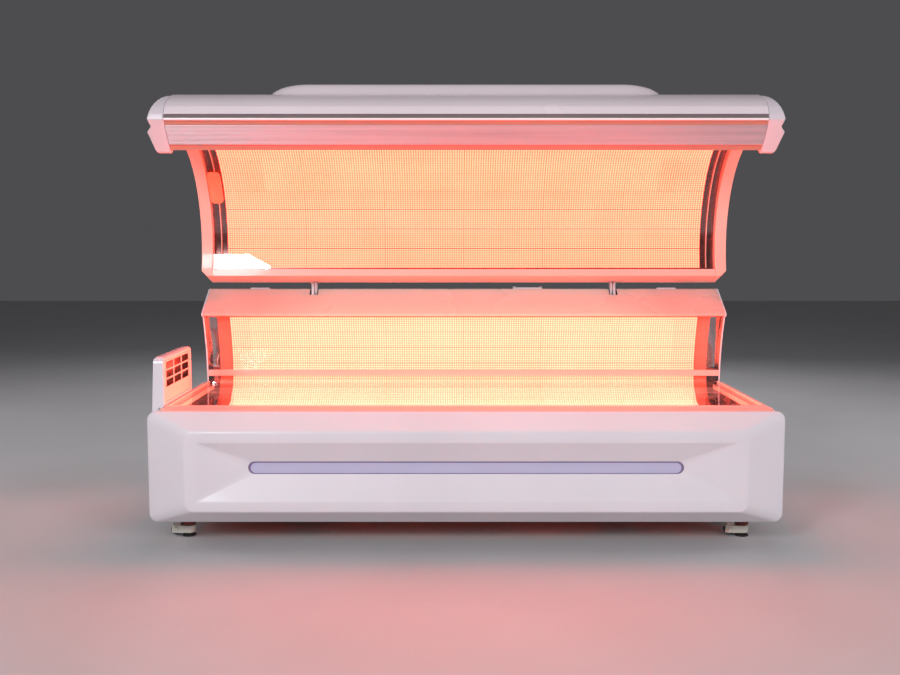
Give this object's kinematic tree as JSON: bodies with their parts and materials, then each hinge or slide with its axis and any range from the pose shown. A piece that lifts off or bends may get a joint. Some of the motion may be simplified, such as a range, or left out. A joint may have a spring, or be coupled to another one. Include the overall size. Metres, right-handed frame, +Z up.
{
  "type": "red light therapy bed",
  "caption": "Red light therapy bed: lit base with a clear acrylic lying sheet, lit upstand and a curved lit canopy that hinges down over the user, on levelling casters.",
  "frame": {"origin": "on the floor under the middle of the bed, canopy open", "axes": "+X along the bed towards the end without the side vent, +Y to the back, +Z up; the user lies down from -Y"},
  "size_m": [2.1986, 1.1, 1.6303],
  "materials": {
    "gloss_white": "gloss moulded white",
    "frame_steel": "grey powder coat",
    "rod_steel": "ground steel",
    "black_plastic": "matt black",
    "black_metal": "black paint",
    "aluminium": "satin anodised",
    "mirror_polished": "mirror polished inside",
    "clear_acrylic": "clear acrylic sheet",
    "led_boards": "boards of small light diodes",
    "light_lens": "frosted lens",
    "control_film": "touch film",
    "caster_ivory": "ivory nylon",
    "caster_nylon": "black nylon",
    "caster_rubber": "black rubber pad, red screw wheel"
  },
  "bodies": {
    "base": {"base_frame": "frame_steel", "front_panel": "gloss_white", "front_light_diffuser": "light_lens", "front_light_bar": "aluminium", "deck_rim": "gloss_white", "acrylic_bed": "clear_acrylic", "left_side_panel": "gloss_white", "right_side_panel": "gloss_white", "left_end_panel": "mirror_polished", "right_end_panel": "mirror_polished", "bed_led_boards": "led_boards", "back_led_boards": "led_boards", "lower_led_tray": "aluminium", "back_shield": "clear_acrylic", "shield_rail": "aluminium", "rear_header": "gloss_white", "rear_panel": "gloss_white", "mains_inlet": "black_plastic", "power_supply": "frame_steel", "control_box": "black_plastic", "rear_fan_frame": "black_plastic", "vent_housing": "gloss_white", "vent_grille": "gloss_white", "hinge_bracket_left": "frame_steel", "hinge_bracket_right": "frame_steel", "gas_cylinder_left": "black_metal", "gas_cylinder_right": "black_metal"},
    "canopy": {"canopy_arm_left": "frame_steel", "canopy_arm_right": "frame_steel", "canopy_led_boards": "led_boards", "canopy_led_tray": "aluminium", "canopy_shield": "clear_acrylic", "canopy_bottom_rail": "aluminium", "visor_bar": "aluminium", "canopy_shell": "gloss_white", "canopy_left_cheek": "gloss_white", "canopy_right_cheek": "gloss_white", "visor_left_cap": "gloss_white", "visor_right_cap": "gloss_white", "canopy_hood": "gloss_white", "control_pad": "control_film", "canopy_fan_frame": "black_plastic"},
    "canopy_fan": {"canopy_fan_rotor": "black_plastic"},
    "rear_fan": {"rear_fan_rotor": "black_plastic"},
    "vent_fan": {"vent_rotor": "black_plastic"},
    "mains_rocker": {"power_switch": "black_plastic"},
    "left_rod": {"gas_rod_left": "rod_steel"},
    "right_rod": {"gas_rod_right": "rod_steel"},
    "caster_front_left": {"caster_body_front_left": "caster_ivory"},
    "wheel_front_left": {"caster_wheel_front_left": "caster_nylon"},
    "pad_front_left": {"caster_pad_front_left": "caster_rubber"},
    "caster_front_right": {"caster_body_front_right": "caster_ivory"},
    "wheel_front_right": {"caster_wheel_front_right": "caster_nylon"},
    "pad_front_right": {"caster_pad_front_right": "caster_rubber"},
    "caster_rear_left": {"caster_body_rear_left": "caster_ivory"},
    "wheel_rear_left": {"caster_wheel_rear_left": "caster_nylon"},
    "pad_rear_left": {"caster_pad_rear_left": "caster_rubber"},
    "caster_rear_right": {"caster_body_rear_right": "caster_ivory"},
    "wheel_rear_right": {"caster_wheel_rear_right": "caster_nylon"},
    "pad_rear_right": {"caster_pad_rear_right": "caster_rubber"}
  },
  "joints": [
    {"name": "canopy_hinge", "type": "hinge", "parent": "base", "child": "canopy", "pos_m": [0, 0.27009, 0.895], "axis": [1, 0, 0], "range_deg": [0, 54]},
    {"name": "left_rod_slide", "type": "slide", "parent": "base", "child": "left_rod", "axis": [0, 1, 0], "range_m": [0, 0.0892]},
    {"name": "right_rod_slide", "type": "slide", "parent": "base", "child": "right_rod", "axis": [0, 1, 0], "range_m": [0, 0.0892]},
    {"name": "canopy_fan_spin", "type": "hinge", "parent": "canopy", "child": "canopy_fan", "pos_m": [0, 0.01409, 1.44389], "axis": [0, 0.5299, 0.848], "continuous": true},
    {"name": "rear_fan_spin", "type": "hinge", "parent": "base", "child": "rear_fan", "pos_m": [0.27, 0.5287, 0.42], "axis": [0, 1, 0], "continuous": true},
    {"name": "vent_fan_spin", "type": "hinge", "parent": "base", "child": "vent_fan", "pos_m": [-1.0625, -0.2655, 0.57], "axis": [0, 1, 0], "continuous": true},
    {"name": "mains_rocker_tilt", "type": "hinge", "parent": "base", "child": "mains_rocker", "pos_m": [0.408, 0.5405, 0.2], "axis": [1, 0, 0], "range_deg": [-16, 0]},
    {"name": "swivel_front_left", "type": "hinge", "parent": "base", "child": "caster_front_left", "pos_m": [-0.996, -0.352, 0.05], "axis": [0, 0, 1], "continuous": true},
    {"name": "roll_front_left", "type": "hinge", "parent": "caster_front_left", "child": "wheel_front_left", "pos_m": [-1.039, -0.352, 0.024], "axis": [0, 1, 0], "continuous": true},
    {"name": "level_front_left", "type": "slide", "parent": "caster_front_left", "child": "pad_front_left", "axis": [0, 0, 1], "range_m": [0, 0.004]},
    {"name": "swivel_front_right", "type": "hinge", "parent": "base", "child": "caster_front_right", "pos_m": [0.996, -0.352, 0.05], "axis": [0, 0, 1], "continuous": true},
    {"name": "roll_front_right", "type": "hinge", "parent": "caster_front_right", "child": "wheel_front_right", "pos_m": [0.953, -0.352, 0.024], "axis": [0, 1, 0], "continuous": true},
    {"name": "level_front_right", "type": "slide", "parent": "caster_front_right", "child": "pad_front_right", "axis": [0, 0, 1], "range_m": [0, 0.004]},
    {"name": "swivel_rear_left", "type": "hinge", "parent": "base", "child": "caster_rear_left", "pos_m": [-0.996, 0.44, 0.05], "axis": [0, 0, 1], "continuous": true},
    {"name": "roll_rear_left", "type": "hinge", "parent": "caster_rear_left", "child": "wheel_rear_left", "pos_m": [-1.039, 0.44, 0.024], "axis": [0, 1, 0], "continuous": true},
    {"name": "level_rear_left", "type": "slide", "parent": "caster_rear_left", "child": "pad_rear_left", "axis": [0, 0, 1], "range_m": [0, 0.004]},
    {"name": "swivel_rear_right", "type": "hinge", "parent": "base", "child": "caster_rear_right", "pos_m": [0.996, 0.44, 0.05], "axis": [0, 0, 1], "continuous": true},
    {"name": "roll_rear_right", "type": "hinge", "parent": "caster_rear_right", "child": "wheel_rear_right", "pos_m": [0.953, 0.44, 0.024], "axis": [0, 1, 0], "continuous": true},
    {"name": "level_rear_right", "type": "slide", "parent": "caster_rear_right", "child": "pad_rear_right", "axis": [0, 0, 1], "range_m": [0, 0.004]}
  ],
  "couplings": [
    {"joint": "left_rod_slide", "follows": "canopy_hinge", "m_per_rad": 0.094235},
    {"joint": "right_rod_slide", "follows": "canopy_hinge", "m_per_rad": 0.094235}
  ]
}
